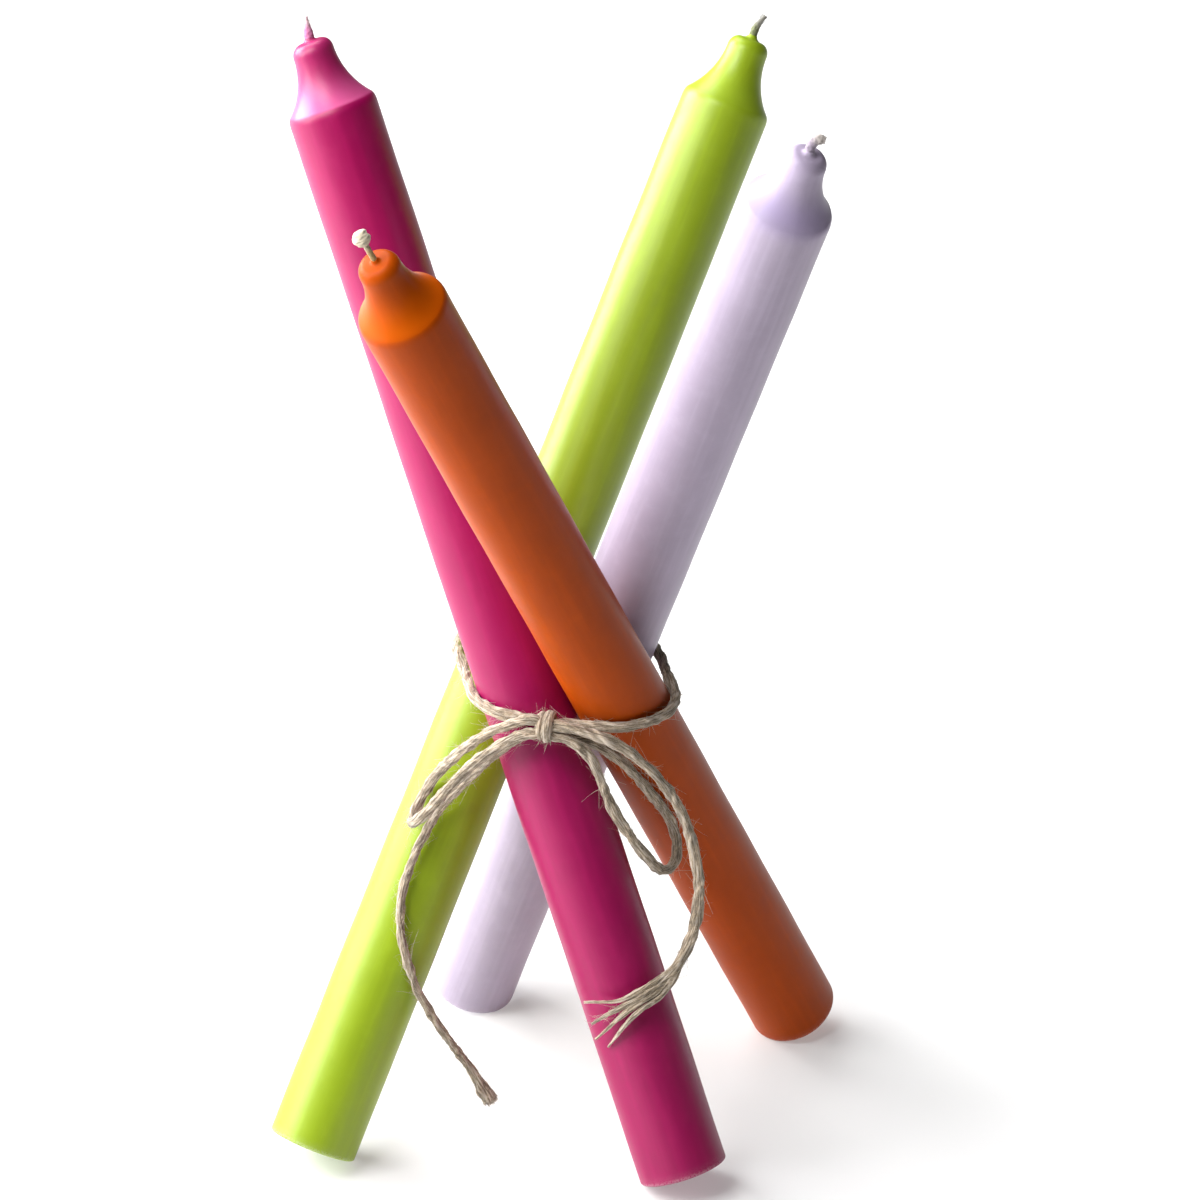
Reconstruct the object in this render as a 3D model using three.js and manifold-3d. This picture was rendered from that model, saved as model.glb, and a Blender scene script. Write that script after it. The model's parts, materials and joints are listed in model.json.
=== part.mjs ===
// Four tapered dinner candles that lean together like tepee poles. Each stands on the lower edge of
// its foot, they touch where they cross, and a length of jute twine ties them there in a bow.
// Millimetres, +Z up. The plane z = 0 is the table, and the middle of the candles' plan is the origin.

import * as THREE from 'three';
import { NURBSCurve } from 'three/addons/curves/NURBSCurve.js';
import { mergeVertices } from 'three/addons/utils/BufferGeometryUtils.js';
import Module from 'manifold-3d';

const wasm = await Module();
wasm.setup();

// The candle
const CANDLE_DIAMETER = 22;
const CANDLE_LENGTH = 293;
const FOOT_BEVEL = 0.6;
const SHOULDER_DROP = 18.3;
const CREASE_DROP = 16;
const CREASE_INSET = 0.7;
const CREASE_WIDTH = 0.7;
const CREASE_LIP = 0.25;
const NUB_RADIUS = 5.1;
const NUB_FLAT_RADIUS = 3.1;
const NUB_ROUNDING = 1.6;

// The wick
const WICK_DIAMETER = 2;
const WICK_CLEARANCE = 0.3;
const WICK_RECESS = 0.5;
const WICK_END_TAPER = 0.08;
const WICK_END_ROOT = 4;
const KNOB_DIAMETER = 3.8;

// How the candles stand: lean from the vertical and compass heading of the lean, in degrees
const PINK_LEAN = 26.0;
const PINK_HEADING = 134.6;
const GREEN_LEAN = 32.9;
const GREEN_HEADING = 47.2;
const ORANGE_LEAN = 27.8;
const ORANGE_HEADING = -137.3;
const LILAC_LEAN = 22.0;
const LILAC_HEADING = -42.3;
const TIE_HEIGHT = 118;
const TOUCH_GAP = 0.3;
const ORANGE_FROM_PINK = -11.1;
const GREEN_FROM_PINK = 98.0;

// The twine
const TWINE_DIAMETER = 2.6;
const TWINE_CLEARANCE = 0.3;
const BAND_STEP = 2.9;
const KNOT_FROM_PINK = 7.7;
const KNOT_WIDTH = 4.6;
const KNOT_RADIUS = 4.1;
const KNOT_FACE_RADIUS = 3;
const KNOT_FORWARD = 1.7;
const KNOT_DROP = 0.5;
const KNOT_WAIST = 0.35;

// Facets
const ROUND_STEPS = 36;
const ARC_STEPS = 3;
const CORD_SIDES = 8;
const CORD_STEP = 5.6;
const WICK_END_STEPS = 8;
const KNOB_SIDES = 12;
const KNOB_RINGS = 8;
const KNOT_STEPS = 20;
const KNOT_ARC_STEPS = 2;
const LOOP_DIRECTIONS = 240;
const POINTS_PER_DIAMETER = 3;
const BEND_REACH_DIAMETERS = 5;
const MERGE_DISTANCE = 1e-4;

// Finishes
const PINK_WAX = 0xc81469;
const ORANGE_WAX = 0xd75a0f;
const GREEN_WAX = 0xafd72d;
const LILAC_WAX = 0xcdbedc;
const WICK_COTTON = 0xcfc8b4;
const JUTE = 0xa89c80;
const WAX_ROUGHNESS = 0.42;
const COTTON_ROUGHNESS = 0.9;
const JUTE_ROUGHNESS = 0.95;

const CANDLE_RADIUS = CANDLE_DIAMETER / 2;
const TWINE_RADIUS = TWINE_DIAMETER / 2;
const TWINE_REACH = TWINE_RADIUS + TWINE_CLEARANCE;
const FOOT_RADIUS = CANDLE_RADIUS - FOOT_BEVEL;
const CREASE_RADIUS = CANDLE_RADIUS - CREASE_INSET;
const AXIS_SPACING = CANDLE_DIAMETER + TOUCH_GAP;
const CORD_START = KNOT_WIDTH / 2 + TWINE_CLEARANCE;

const candles = {
  pink: { lean: PINK_LEAN, heading: PINK_HEADING, colour: PINK_WAX },
  orange: { lean: ORANGE_LEAN, heading: ORANGE_HEADING, colour: ORANGE_WAX },
  green: { lean: GREEN_LEAN, heading: GREEN_HEADING, colour: GREEN_WAX },
  lilac: { lean: LILAC_LEAN, heading: LILAC_HEADING, colour: LILAC_WAX },
};

// Wicks above the nub: offsets across the candle (first towards its lean) and height over the nub
const wickBends = {
  pink: [[-0.1, -0.2, 1.8], [-0.3, -0.5, 3.8], [-0.6, -0.9, 5.95]],
  orange: [[-0.1, -0.4, 1.8], [-0.4, -1.2, 4.0], [-0.8, -2.2, 6.4]],
  green: [[0, -0.2, 2.0], [0.1, -0.6, 4.2], [0.3, -1.1, 6.6]],
  lilac: [[-0.4, 0, 1.6], [-0.5, 0.5, 3.4], [0.4, 1.3, 4.6], [1.6, 2.0, 4.7]],
};

// Routes of the free twine, from the knot's centre on the band: x along the band to the right,
// y in towards the candles, z up. Each is the control polygon of one smooth curve.
const bowRoutes = {
  left_bow_loop: [
    [-CORD_START, -3, 1.6], [-5, -3, 1.6], [-10, -3.3, -0.8], [-15.5, -2.3, -4.5], [-21, 0, -10.5],
    [-26, 3, -17], [-30.5, 6.5, -23.5], [-33.5, 5.5, -29.8], [-34.3, -1, -32], [-32.3, -7.5, -29.5],
    [-28, -8.5, -24], [-23.5, -7.2, -18], [-18.5, -6.6, -12], [-14, -6.2, -7.5], [-9, -5.3, -3.7],
    [-5, -4.2, -1.6], [-CORD_START, -4.2, -1.6],
  ],
  left_twine_tail: [
    [-CORD_START, -1, -3], [-4.5, -1.5, -3], [-7.5, -2, -5], [-12, -2, -9], [-17.5, 0, -15.5],
    [-22, 2.5, -22], [-26.5, 3.5, -28], [-29.5, 1.5, -32.5], [-31.5, -0.5, -37], [-33.5, -3, -41.5],
    [-35, -6, -47], [-35.5, -9, -53], [-34.5, -11.5, -59], [-32.5, -13.5, -65.5], [-30, -13.5, -73],
    [-26.5, -11.5, -81.5], [-21.5, -8.5, -92], [-17.5, -6, -100], [-14.5, -4, -107.5],
  ],
  right_bow_loop: [
    [CORD_START, -3.5, -2], [5, -3.5, -2], [9, -3, -4], [12, -2.5, -8.5], [13.5, -1.5, -14],
    [15, -1, -19.5], [17.5, -0.5, -25], [21, 0, -30.5], [24.5, 1, -36], [27, 3.5, -41],
    [29, 8, -43], [29.5, 13, -41], [28.5, 15.5, -36.5], [27, 14, -32], [25.5, 12, -27.5],
    [23.5, 9.5, -23], [21.5, 7.5, -18.5], [18.5, 5, -13.5], [15.5, 3, -9], [11, 1.5, -6],
    [7, 0, -4], [5, -0.5, -3], [CORD_START, -0.5, -3],
  ],
  right_twine_tail: [
    [CORD_START, -3, 1], [5, -3, 1], [13.5, -3.5, -0.5], [18, -2, -3], [22.5, 0, -7.5],
    [27, 1.5, -13], [30.5, 3, -19], [33.5, 3.5, -25.5], [35.5, 3, -32], [37, 2.5, -39],
    [37.5, 1, -46], [37, -1.5, -53], [35, -5, -59], [32.5, -9, -62.5], [29, -13.5, -64.5],
    [25.5, -17, -65.5], [22, -18.5, -67.5], [18.5, -19, -70], [15, -18.5, -73],
  ],
};

const radians = THREE.MathUtils.degToRad;

function material(colour, roughness) {
  return new THREE.MeshStandardMaterial({ color: colour, roughness, metalness: 0 });
}

function mesh(name, geometry, colour, roughness) {
  const piece = new THREE.Mesh(geometry, material(colour, roughness));
  piece.name = name;
  return piece;
}

// A geometry as a solid, for joining and cutting.
function solid(geometry) {
  const bare = geometry.clone();
  bare.deleteAttribute('normal');
  bare.deleteAttribute('uv');
  const merged = mergeVertices(bare, MERGE_DISTANCE);
  return new wasm.Manifold(new wasm.Mesh({
    numProp: 3,
    vertProperties: new Float32Array(merged.attributes.position.array),
    triVerts: new Uint32Array(merged.index.array),
  }));
}

function geometryOf(body) {
  const found = body.getMesh();
  const geometry = new THREE.BufferGeometry();
  geometry.setAttribute('position', new THREE.BufferAttribute(found.vertProperties, 3));
  geometry.setIndex(new THREE.BufferAttribute(found.triVerts, 1));
  geometry.computeVertexNormals();
  return geometry;
}

// Turns a lathe's axis from +Y to +Z.
function lathe(points, steps) {
  return new THREE.LatheGeometry(points, steps).rotateX(Math.PI / 2);
}

// The wax body, foot at z = 0. The outline climbs the outside, rolls over the nub and comes back
// down the bore that holds the wick.
function waxGeometry() {
  const top = CANDLE_LENGTH;
  const bore = WICK_DIAMETER / 2 + WICK_CLEARANCE;
  const shoulder = top - SHOULDER_DROP;
  const crease = top - CREASE_DROP;
  const rim = CREASE_RADIUS + CREASE_LIP;
  const nubSide = top - NUB_ROUNDING;
  const flareRise = nubSide - crease;
  const flareWidth = CREASE_RADIUS - NUB_RADIUS;
  const flareRadius = (flareWidth ** 2 + flareRise ** 2) / (2 * flareWidth);
  const flareTurn = Math.asin(flareRise / flareRadius);
  const outline = new THREE.Path();
  outline.moveTo(bore, 0);
  outline.lineTo(FOOT_RADIUS, 0);
  outline.lineTo(CANDLE_RADIUS, FOOT_BEVEL);
  outline.lineTo(CANDLE_RADIUS, shoulder);
  const lipRise = crease - CREASE_WIDTH - shoulder;
  outline.absellipse(rim, shoulder, CANDLE_RADIUS - rim, lipRise, 0, Math.PI / 2, false, 0);
  outline.lineTo(CREASE_RADIUS, crease - CREASE_WIDTH / 2);
  outline.lineTo(CREASE_RADIUS, crease);
  const centre = NUB_RADIUS + flareRadius;
  outline.absarc(centre, nubSide, flareRadius, Math.PI + flareTurn, Math.PI, true);
  outline.absellipse(NUB_FLAT_RADIUS, nubSide, NUB_RADIUS - NUB_FLAT_RADIUS, NUB_ROUNDING,
    0, Math.PI / 2, false, 0);
  outline.lineTo(bore, top);
  outline.lineTo(bore, 0);
  return lathe(outline.getPoints(ARC_STEPS), ROUND_STEPS);
}

function circle(radius, sides) {
  const shape = new THREE.Shape();
  for (let i = 0; i < sides; i += 1) {
    const turn = (2 * Math.PI * i) / sides;
    const corner = [radius * Math.cos(turn), radius * Math.sin(turn)];
    if (i === 0) shape.moveTo(...corner);
    else shape.lineTo(...corner);
  }
  shape.closePath();
  return shape;
}

function tube(path, diameter, steps) {
  return new THREE.ExtrudeGeometry(circle(diameter / 2, CORD_SIDES), {
    extrudePath: path,
    steps,
    bevelEnabled: false,
  });
}

// The smooth curve of a control polygon: a cubic spline that starts and ends on its end points.
function spline(points) {
  const degree = 3;
  const spans = points.length - degree;
  const knots = [];
  for (let i = 0; i <= degree; i += 1) knots.push(0);
  for (let i = 1; i < spans; i += 1) knots.push(i / spans);
  for (let i = 0; i <= degree; i += 1) knots.push(1);
  return new NURBSCurve(degree, knots, points.map((p) => new THREE.Vector4(...p, 1)));
}

function knobAt(point) {
  return new THREE.SphereGeometry(KNOB_DIAMETER / 2, KNOB_SIDES, KNOB_RINGS).translate(...point);
}

// The wick: a straight run up the bore, a bent end above the nub, and on one candle a wax-caked knob.
function wickGeometry(name) {
  const run = CANDLE_LENGTH - WICK_RECESS;
  const straight = new THREE.CylinderGeometry(WICK_DIAMETER / 2, WICK_DIAMETER / 2, run, CORD_SIDES);
  straight.rotateX(Math.PI / 2).translate(0, 0, WICK_RECESS + run / 2);
  const bends = wickBends[name].map(([x, y, z]) => [x, y, CANDLE_LENGTH + z]);
  const start = [[0, 0, CANDLE_LENGTH - WICK_END_ROOT], [0, 0, CANDLE_LENGTH]];
  const end = tube(spline([...start, ...bends]), WICK_DIAMETER - WICK_END_TAPER, WICK_END_STEPS);
  let body = solid(straight).add(solid(end));
  if (name === 'orange') body = body.add(solid(knobAt(bends.at(-1))));
  return geometryOf(body);
}

// The direction in which a candle points.
function axisOf({ lean, heading }) {
  const across = Math.sin(radians(lean));
  return new THREE.Vector3(
    across * Math.cos(radians(heading)),
    across * Math.sin(radians(heading)),
    Math.cos(radians(lean)),
  );
}

function commonNormal(a, b) {
  return new THREE.Vector3().crossVectors(axisOf(a), axisOf(b)).normalize();
}

// Where a candle crosses the tie plane when it touches its neighbour in the given plan direction.
function beside(neighbour, candle, bearing) {
  const way = new THREE.Vector3(Math.cos(radians(bearing)), Math.sin(radians(bearing)), 0);
  const distance = AXIS_SPACING / Math.abs(commonNormal(neighbour, candle).dot(way));
  return neighbour.crossing.clone().addScaledVector(way, distance);
}

// Where the last candle crosses the tie plane when it touches two others: its axis keeps the
// spacing from each along their common normals, on the side away from the first candle.
function against(first, left, right, candle) {
  const guess = left.crossing.clone().add(right.crossing).sub(first.crossing);
  const rows = [left, right].map((other) => {
    const normal = commonNormal(other, candle);
    const side = Math.sign(normal.dot(guess.clone().sub(other.crossing)));
    const here = normal.x * other.crossing.x + normal.y * other.crossing.y;
    return { x: normal.x, y: normal.y, value: here + side * AXIS_SPACING };
  });
  const [p, q] = rows;
  const determinant = p.x * q.y - p.y * q.x;
  return new THREE.Vector3(
    (p.value * q.y - p.y * q.value) / determinant,
    (p.x * q.value - p.value * q.x) / determinant,
    TIE_HEIGHT,
  );
}

function placeCandles() {
  const { pink, orange, green, lilac } = candles;
  pink.crossing = new THREE.Vector3(0, 0, TIE_HEIGHT);
  orange.crossing = beside(pink, orange, ORANGE_FROM_PINK);
  green.crossing = beside(pink, green, GREEN_FROM_PINK);
  lilac.crossing = against(pink, green, orange, lilac);
}

// A candle's group: its foot's lower edge touches the table.
function candleGroup(name) {
  const { lean, heading, colour, crossing } = candles[name];
  const footHeight = FOOT_RADIUS * Math.sin(radians(lean));
  const run = (TIE_HEIGHT - footHeight) / Math.cos(radians(lean));
  const group = new THREE.Group();
  group.position.copy(crossing).addScaledVector(axisOf(candles[name]), -run);
  group.rotation.set(0, radians(lean), radians(heading), 'ZYX');
  group.add(mesh(`${name}_candle_wax`, waxGeometry(), colour, WAX_ROUGHNESS));
  group.add(mesh(`${name}_wick`, wickGeometry(name), WICK_COTTON, COTTON_ROUGHNESS));
  return group;
}

// The point of a candle's offset section in the tie plane that lies furthest in a direction, and
// how far. The section of a leaning round candle is an ellipse, long along its heading.
function furthest(candle, direction) {
  const short = CANDLE_RADIUS + TWINE_REACH;
  const long = short / Math.cos(radians(candle.lean));
  const turn = direction - radians(candle.heading);
  const reach = Math.hypot(long * Math.cos(turn), short * Math.sin(turn));
  const point = new THREE.Vector3(
    (long ** 2 * Math.cos(turn)) / reach,
    (short ** 2 * Math.sin(turn)) / reach,
    0,
  );
  point.applyAxisAngle(new THREE.Vector3(0, 0, 1), radians(candle.heading)).add(candle.crossing);
  return { candle, point, value: point.x * Math.cos(direction) + point.y * Math.sin(direction) };
}

// The taut loop round all four sections: for each direction, the candle that reaches furthest.
function tautLoop() {
  const loop = [];
  for (let i = 0; i < LOOP_DIRECTIONS; i += 1) {
    const direction = (2 * Math.PI * i) / LOOP_DIRECTIONS;
    const reaches = Object.values(candles).map((candle) => furthest(candle, direction));
    loop.push(reaches.reduce((best, next) => (next.value > best.value ? next : best)));
  }
  return loop;
}

// The loop's points from the front straight round the back, starting on the orange candle, and the
// frame of the knot, which sits on that straight near the pink candle.
function tieLayout() {
  const loop = tautLoop();
  const start = loop.findIndex(({ candle }, i) => candle === candles.orange
    && loop.at(i - 1).candle === candles.pink);
  const points = [...loop.slice(start), ...loop.slice(0, start)].map(({ point }) => point);
  const fromPink = points.at(-1);
  const along = points[0].clone().sub(fromPink).normalize();
  const knot = fromPink.clone().addScaledVector(along, KNOT_FROM_PINK);
  return { points, knot, along };
}

// A path of straight steps through points.
function steppedPath(points) {
  const path = new THREE.CurvePath();
  for (let i = 1; i < points.length; i += 1) path.add(new THREE.LineCurve3(points[i - 1], points[i]));
  return path;
}

function bandMesh({ points, knot, along }) {
  const first = knot.clone().addScaledVector(along, CORD_START);
  const last = knot.clone().addScaledVector(along, -CORD_START);
  const route = steppedPath([first, ...points, last]);
  const length = route.getLength();
  const opening = first.distanceTo(last);
  console.log(`twine_band: ${length.toFixed(1)} mm long, ${opening.toFixed(1)} mm open at the knot`);
  const steps = Math.round(length / BAND_STEP);
  return mesh('twine_band', tube(route, TWINE_DIAMETER, steps), JUTE, JUTE_ROUGHNESS);
}

// The wrap of the bow knot: a barrel with a slight waist between its two turns and flat ends, where
// the band, the loops and the tails come out.
function knotGeometry() {
  const half = KNOT_WIDTH / 2;
  const turnRadius = half / 2;
  const outline = new THREE.Path();
  outline.moveTo(0, -half);
  outline.lineTo(KNOT_FACE_RADIUS, -half);
  const swell = KNOT_RADIUS - KNOT_FACE_RADIUS;
  outline.absellipse(KNOT_FACE_RADIUS, -turnRadius, swell, turnRadius, -Math.PI / 2, 0, false, 0);
  outline.lineTo(KNOT_RADIUS - KNOT_WAIST, 0);
  outline.lineTo(KNOT_RADIUS, turnRadius);
  outline.absellipse(KNOT_FACE_RADIUS, turnRadius, swell, turnRadius, 0, Math.PI / 2, false, 0);
  outline.lineTo(0, half);
  const barrel = new THREE.LatheGeometry(outline.getPoints(KNOT_ARC_STEPS), KNOT_STEPS);
  return barrel.rotateZ(-Math.PI / 2).translate(0, -KNOT_FORWARD, -KNOT_DROP);
}

// The least gap of a tube to itself, on spaced points of its centreline. Points within a bend's
// reach along it are neighbours and don't count.
function ownGap(path, diameter) {
  const pointCount = Math.round((POINTS_PER_DIAMETER * path.getLength()) / diameter);
  const points = path.getSpacedPoints(pointCount);
  const skipped = BEND_REACH_DIAMETERS * POINTS_PER_DIAMETER;
  let least = Infinity;
  for (let i = 0; i < points.length; i += 1) {
    for (let j = i + skipped; j < points.length; j += 1) {
      least = Math.min(least, points[i].distanceTo(points[j]) - diameter);
    }
  }
  return least;
}

function bowMesh(name) {
  const path = spline(bowRoutes[name]);
  const length = path.getLength();
  const gap = ownGap(path, TWINE_DIAMETER);
  console.log(`${name}: ${length.toFixed(1)} mm long, ${gap.toFixed(2)} mm clear of itself`);
  const steps = Math.round(length / CORD_STEP);
  return mesh(name, tube(path, TWINE_DIAMETER, steps), JUTE, JUTE_ROUGHNESS);
}

// The knot and the free twine, in the knot's frame.
function bowGroup({ knot, along }) {
  const group = new THREE.Group();
  group.position.copy(knot);
  group.rotation.z = Math.atan2(along.y, along.x);
  group.add(mesh('twine_knot', knotGeometry(), JUTE, JUTE_ROUGHNESS));
  for (const name of Object.keys(bowRoutes)) group.add(bowMesh(name));
  return group;
}

function build() {
  placeCandles();
  const tie = tieLayout();
  const stand = new THREE.Group();
  for (const name of Object.keys(candles)) stand.add(candleGroup(name));
  const box = new THREE.Box3().setFromObject(stand, true);
  const middle = box.getCenter(new THREE.Vector3());
  stand.add(bandMesh(tie), bowGroup(tie));
  stand.position.set(-middle.x, -middle.y, -box.min.z);
  return stand;
}

export default build();
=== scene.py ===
import json

import bpy
import numpy as np
from bpy.props import FloatProperty, FloatVectorProperty, IntProperty, PointerProperty
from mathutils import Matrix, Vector


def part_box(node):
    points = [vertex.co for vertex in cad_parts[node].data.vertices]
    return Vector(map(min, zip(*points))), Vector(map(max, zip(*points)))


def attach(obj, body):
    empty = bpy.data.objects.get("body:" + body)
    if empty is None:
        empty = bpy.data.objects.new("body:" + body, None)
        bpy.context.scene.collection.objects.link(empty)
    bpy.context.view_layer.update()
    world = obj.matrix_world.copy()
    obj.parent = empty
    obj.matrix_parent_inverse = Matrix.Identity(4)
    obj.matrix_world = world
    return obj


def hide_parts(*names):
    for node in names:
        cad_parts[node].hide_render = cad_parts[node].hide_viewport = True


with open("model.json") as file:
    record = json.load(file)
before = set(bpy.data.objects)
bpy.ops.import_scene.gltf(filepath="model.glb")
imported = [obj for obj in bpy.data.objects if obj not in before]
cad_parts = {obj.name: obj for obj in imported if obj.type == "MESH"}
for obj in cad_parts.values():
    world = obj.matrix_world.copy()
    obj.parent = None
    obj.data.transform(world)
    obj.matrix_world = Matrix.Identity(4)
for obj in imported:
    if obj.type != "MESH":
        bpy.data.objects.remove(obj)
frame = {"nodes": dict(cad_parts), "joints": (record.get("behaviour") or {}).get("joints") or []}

bl_info = {
    "name": "Tied dinner candles",
    "version": (1, 0, 0),
    "blender": (4, 5, 0),
    "location": "View3D > Sidebar > Candles",
    "description": "Four leaning dinner candles tied with jute twine in a bow",
    "category": "Add Mesh",
}

TURN = 2 * np.pi
MM = 0.001
COLOURS = ("pink", "orange", "green", "lilac")

# The twine's layout round the candles, as on the solids: the tie's height, how far from the wax the
# band's middle line runs, from how many directions it is found, how far past the pink candle the
# knot sits, and the middle of its wrap
TIE_HEIGHT = float(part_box("twine_band")[0].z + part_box("twine_band")[1].z) / 2
SOLID_REACH = 0.0016
SOLID_DIRECTIONS = 240
KNOT_FROM_PINK = 0.0077
KNOT_CENTRE = np.array((0, -0.0017, -0.0005))

# How far the band's twine stays from the wax
BAND_CLEARANCE = 0.0001

# Steps between the rings of the twine, of the frayed yarns and of the wicks above the nub
TWINE_STEP = 0.00022
YARN_STEP = 0.00025
WICK_STEP = 0.00009

# Where each group's random unevenness starts
SEEDS = {"band": 5, "knot": 7, "free twine": 11, "wax": 31, "wicks": 71}

# The photographer's place: a long lens, a little above the tips, square to the bow
CAMERA_TARGET = Vector((0.010943, -0.030826, 0.1523))
CAMERA_ELEVATION = 29.3
CAMERA_DISTANCE = 2.0
CAMERA_LENS = 250.3
SENSOR_WIDTH = 36

# Routes of the free twine, in mm from the knot's centre on the band: x along the band to the right,
# y in towards the candles, z up. Each is the control polygon of one smooth curve, and starts where
# the twine leaves the knot.
BOW_ROUTES = {
    "left_bow_loop": [
        (-2.6, -3, 1.6), (-5, -3, 1.6), (-10, -3.3, -0.8), (-15.5, -2.3, -4.5),
        (-21, 0, -10.5), (-26, 3, -17), (-30.5, 6.5, -23.5), (-33.5, 5.5, -29.8), (-34.3, -1, -32),
        (-32.3, -7.5, -29.5), (-28, -8.5, -24), (-23.5, -7.2, -18), (-18.5, -6.6, -12),
        (-14, -6.2, -7.5), (-9, -5.3, -3.7), (-5, -4.2, -1.6), (-2.6, -4.2, -1.6),
    ],
    "left_twine_tail": [
        (-2.6, -1, -3), (-4.5, -1.5, -3), (-7.5, -2, -5), (-12, -2, -9), (-17.5, 0, -15.5),
        (-22, 2.5, -22), (-26.5, 3.5, -28), (-29.5, 1.5, -32.5), (-31.5, -0.5, -37),
        (-33.5, -3, -41.5), (-35, -6, -47), (-35.5, -9, -53), (-34.5, -11.5, -59),
        (-32.5, -13.5, -65.5), (-30, -13.5, -73), (-26.5, -11.5, -81.5), (-21.5, -8.5, -92),
        (-17.5, -6, -100), (-14.5, -4, -107.5),
    ],
    "right_bow_loop": [
        (2.6, -3.5, -2), (5, -3.5, -2), (9, -3, -4), (12, -2.5, -8.5), (13.5, -1.5, -14),
        (15, -1, -19.5), (17.5, -0.5, -25), (21, 0, -30.5), (24.5, 1, -36), (27, 3.5, -41),
        (29, 8, -43), (29.5, 13, -41), (28.5, 15.5, -36.5), (27, 14, -32), (25.5, 12, -27.5),
        (23.5, 9.5, -23), (21.5, 7.5, -18.5), (18.5, 5, -13.5), (15.5, 3, -9), (11, 1.5, -6),
        (7, 0, -4), (5, -0.5, -3), (2.6, -0.5, -3),
    ],
    "right_twine_tail": [
        (2.6, -3, 1), (5, -3, 1), (13.5, -3.5, -0.5), (18, -2, -3), (22.5, 0, -7.5),
        (27, 1.5, -13), (30.5, 3, -19), (33.5, 3.5, -25.5), (35.5, 3, -32), (37, 2.5, -39),
        (37.5, 1, -46), (37, -1.5, -53), (35, -5, -59), (32.5, -9, -62.5), (29, -13.5, -64.5),
        (25.5, -17, -65.5), (22, -18.5, -67.5), (18.5, -19, -70), (15, -18.5, -73),
    ],
}

# The frayed yarns of the right tail's end: how many yarn widths each lies beside the middle one
# (above it where positive), its tip's offset in mm from the line's end, and where it leaves them
FRAYED_LENGTH = 0.03
YARN_WIDTH = 0.00136
BESIDE = np.array((-0.645, 0.263, 0.715))
FRAYED_YARNS = [
    {"place": 1, "tip": (-1.7, 0.2, 5.8), "leaves": 0.6},
    {"place": -1, "tip": (1, -0.6, -3.7), "leaves": 0.55},
    {"place": -2, "tip": (3.9, -0.2, -5.8), "leaves": 0.5},
]

# Wicks above the nub, in mm: towards the candle's lean, level across it, and height over the nub
WICK_BENDS = {
    "pink": [(-0.1, -0.2, 1.8), (-0.3, -0.5, 3.8), (-0.6, -0.9, 5.95)],
    "orange": [
        (-0.1, -0.4, 1.8), (-0.4, -1.2, 4), (-0.8, -2.2, 6.4), (-1.05, -2.9, 8),
    ],
    "green": [
        (-0.1, 0.1, 1.8), (-0.2, 0, 3.6), (0, -0.7, 5.2), (0.3, -1.1, 6.6),
    ],
    "lilac": [
        (-0.4, 0, 1.6), (-0.5, 0.5, 3.4), (0.4, 1.3, 4.6), (1.6, 2, 4.7),
    ],
}


def linear(red, green, blue):
    """The linear colour of a screen colour given as 0 to 255."""
    share = np.array((red, green, blue)) / 255
    return tuple(np.where(share <= 0.04045, share / 12.92, ((share + 0.055) / 1.055) ** 2.4).tolist())


# The colour that each tip tends to above the crease: partly the thin wax's own tint and partly painted
# light, namely a painted reflection of the light above on the pink's upturned flare, a painted glow of
# light through the orange's thin wax and painted shade on the lilac
TIP_TINTS_AND_PAINTED_LIGHT = {
    "pink": linear(196, 78, 134),
    "orange": linear(190, 82, 1),
    "green": linear(154, 180, 40),
    "lilac": linear(162, 148, 182),
}

# Over how many crease widths the tip's tint, with its painted light, starts
CREASE_SOFTNESS = {"pink": 1, "orange": 3, "green": 12, "lilac": 12}

# What the wicks' cotton is tinted by, and the colour where it is soaked with wax
WICK_TINTS = {
    "pink": ((0.95, 0.72, 0.95), linear(196, 84, 150)),
    "orange": ((1, 0.96, 0.86), linear(150, 118, 30)),
    "green": ((0.42, 0.44, 0.46), linear(104, 112, 60)),
    "lilac": ((0.6, 0.58, 0.66), linear(150, 136, 160)),
}

# Length of one turn of the braid's strands, and half the length of the knob on the orange wick
BRAID_LAY = 0.0026
KNOB_HALF_LENGTH = 0.0019

# Wicks with loose threads: the orange one is caked with wax
FUZZY_WICKS = ("pink", "green", "lilac")

# How thick each wick is where it leaves the wax, as a share of its diameter
WICK_GIRTHS = {"pink": 1, "orange": 0.72, "green": 1, "lilac": 1}

# The bore's radius as a share of the wick's, so that the wax grips the braid
BORE_SHARE = 0.93

# How much the waxes shine: the orange one is polished less
SHINE = {"pink": 0.45, "orange": 0.1, "green": 0.48, "lilac": 0.2}


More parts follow.
